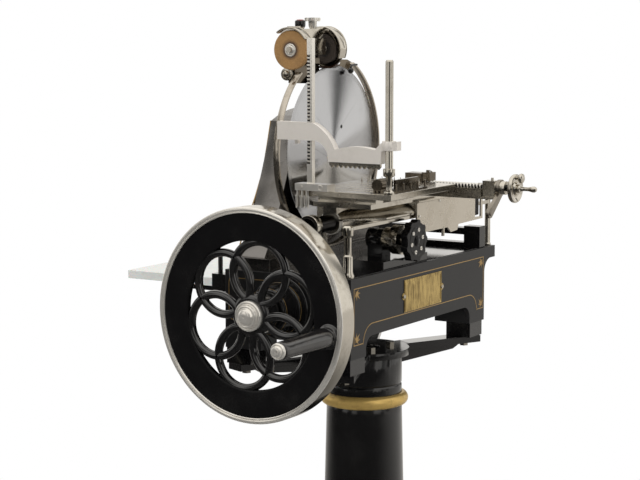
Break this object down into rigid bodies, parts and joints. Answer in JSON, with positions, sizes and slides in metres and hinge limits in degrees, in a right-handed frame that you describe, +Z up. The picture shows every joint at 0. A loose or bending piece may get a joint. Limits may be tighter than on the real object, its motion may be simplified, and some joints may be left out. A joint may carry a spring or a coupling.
{
  "type": "hand crank meat slicer",
  "caption": "Hand-cranked flywheel meat slicer on a round pedestal: turning knife, sliding carriage, screw-fed table, toothed meat clamp, sharpener and receiving tray.",
  "frame": {"origin": "on the floor, on the pedestal's axis", "axes": "+Z up; +X from the knife towards the feed handwheel; -Y towards the flywheel and the person turning it"},
  "size_m": [0.878, 0.9579, 1.4805],
  "materials": {
    "black_enamel": "gloss black baked enamel",
    "ebonised_wood": "black lacquered turned hardwood",
    "gold_paint": "gold bronze paint",
    "brass": "polished brass",
    "bronze": "machined bearing bronze",
    "nickel": "polished nickel plate",
    "nickel_plate": "satin nickel plate on cast iron",
    "knife_steel": "ground and polished carbon steel",
    "steel": "machined steel",
    "blued_steel": "blackened polished steel",
    "cast_iron": "bare cast iron",
    "white_glass": "polished white marble",
    "tan_stone": "bonded aluminium oxide grinding wheel",
    "grey_stone": "fine bonded honing wheel"
  },
  "bodies": {
    "stand_and_bed": {"pedestal_foot": "black_enamel", "pedestal_column": "black_enamel", "collar_ring": "gold_paint", "column_head": "black_enamel", "stand_bracket": "black_enamel", "stand_bolts": "steel", "foot_pads": "black_enamel", "bed_casting": "black_enamel", "shaft_housing": "black_enamel", "shaft_bushes": "bronze", "name_plate": "brass", "plate_screws": "nickel", "carriage_rod": "blued_steel", "front_rod_stand": "nickel_plate", "rear_frame": "black_enamel", "side_rail": "nickel", "rail_posts": "nickel", "knife_column": "nickel_plate", "knife_guard": "nickel", "guard_knobs": "nickel", "sharpener_bridge": "nickel_plate", "slice_deflector": "nickel", "drive_chain": "steel", "dial_bracket": "black_enamel", "tray_arm": "black_enamel", "slice_tray": "white_glass"},
    "flywheel": {"flywheel": "black_enamel", "drive_shaft": "steel", "drive_pinions": "steel", "hub_nut": "nickel", "handle_pin": "nickel"},
    "grip": {"crank_grip": "ebonised_wood"},
    "cross_shaft": {"cross_shaft": "steel", "cross_gear": "steel", "drive_sprocket": "steel"},
    "crank": {"crank_shaft": "steel", "crank_gear": "cast_iron"},
    "knife": {"knife_blade": "knife_steel", "knife_shaft": "nickel", "knife_sprocket": "steel"},
    "carriage": {"carriage": "nickel_plate", "side_cover": "nickel", "screw_block": "nickel_plate"},
    "connecting_rod": {"connecting_rod": "steel"},
    "feed_lever": {"feed_lever": "nickel"},
    "feed_table": {"feed_table": "nickel_plate", "nut_box": "black_enamel", "toothed_post": "nickel", "plain_post": "nickel", "end_grip": "nickel"},
    "feed_screw": {"feed_screw": "steel", "feed_handwheel": "nickel"},
    "clamp": {"clamp_bar": "nickel_plate", "clamp_comb": "nickel"},
    "dial": {"dial_spindle": "nickel", "thickness_dial": "black_enamel"},
    "sharpener": {"sharpener_head": "nickel"},
    "grinding_stone": {"grinding_stone": "tan_stone"},
    "honing_stone": {"honing_stone": "grey_stone"},
    "star_knob": {"star_knob": "nickel"}
  },
  "joints": [
    {"name": "flywheel_turn", "type": "hinge", "parent": "stand_and_bed", "child": "flywheel", "pos_m": [-0.01, -0.4, 0.895], "axis": [0, 1, 0], "continuous": true},
    {"name": "grip_turn", "type": "hinge", "parent": "flywheel", "child": "grip", "pos_m": [0.17536, -0.448, 0.87027], "axis": [0, 1, 0], "continuous": true},
    {"name": "cross_shaft_turn", "type": "hinge", "parent": "stand_and_bed", "child": "cross_shaft", "pos_m": [-0.1, -0.025, 0.895], "axis": [1, 0, 0], "continuous": true},
    {"name": "crank_turn", "type": "hinge", "parent": "stand_and_bed", "child": "crank", "pos_m": [-0.01, 0.09, 0.9], "axis": [0, 0, 1], "continuous": true},
    {"name": "knife_turn", "type": "hinge", "parent": "stand_and_bed", "child": "knife", "pos_m": [-0.068, -0.025, 1.194], "axis": [1, 0, 0], "continuous": true},
    {"name": "carriage_slide", "type": "slide", "parent": "stand_and_bed", "child": "carriage", "axis": [0, 1, 0], "range_m": [-0.058, 0.118]},
    {"name": "rod_swing", "type": "hinge", "parent": "carriage", "child": "connecting_rod", "pos_m": [-0.01, -0.16, 0.94], "axis": [0, 0, 1], "range_deg": [-3.3, 43.9]},
    {"name": "feed_lever_swing", "type": "hinge", "parent": "carriage", "child": "feed_lever", "pos_m": [0.314, 0.021, 1.129], "axis": [1, 0, 0], "range_deg": [-8, 40]},
    {"name": "table_feed", "type": "slide", "parent": "carriage", "child": "feed_table", "axis": [1, 0, 0], "range_m": [0, 0.11]},
    {"name": "feed_screw_turn", "type": "hinge", "parent": "carriage", "child": "feed_screw", "pos_m": [0.3, 0.021, 1.129], "axis": [1, 0, 0], "range_deg": [0, 5280.1]},
    {"name": "clamp_slide", "type": "slide", "parent": "feed_table", "child": "clamp", "axis": [0, 0, 1], "range_m": [-0.03, 0.095]},
    {"name": "dial_turn", "type": "hinge", "parent": "stand_and_bed", "child": "dial", "pos_m": [0.16, -0.072, 1.0175], "axis": [1, 0, 0], "range_deg": [0, 300]},
    {"name": "sharpener_lift", "type": "slide", "parent": "stand_and_bed", "child": "sharpener", "axis": [0, 0, 1], "range_m": [-0.005, 0.012]},
    {"name": "grinding_stone_turn", "type": "hinge", "parent": "sharpener", "child": "grinding_stone", "pos_m": [-0.067, -0.187, 1.414], "axis": [0, 1, 0], "continuous": true},
    {"name": "honing_stone_turn", "type": "hinge", "parent": "sharpener", "child": "honing_stone", "pos_m": [-0.067, -0.057, 1.414], "axis": [0, 1, 0], "continuous": true},
    {"name": "star_knob_turn", "type": "hinge", "parent": "sharpener", "child": "star_knob", "pos_m": [-0.064, -0.111, 1.45], "axis": [0, 0, 1], "range_deg": [-910, 2170]}
  ],
  "couplings": [
    {"joint": "cross_shaft_turn", "follows": "flywheel_turn", "ratio": 1.5},
    {"joint": "crank_turn", "follows": "flywheel_turn", "ratio": -0.5},
    {"joint": "knife_turn", "follows": "flywheel_turn", "ratio": 3},
    {"joint": "feed_screw_turn", "follows": "table_feed", "rad_per_m": 837.76},
    {"joint": "star_knob_turn", "follows": "sharpener_lift", "rad_per_m": 3141.6}
  ]
}
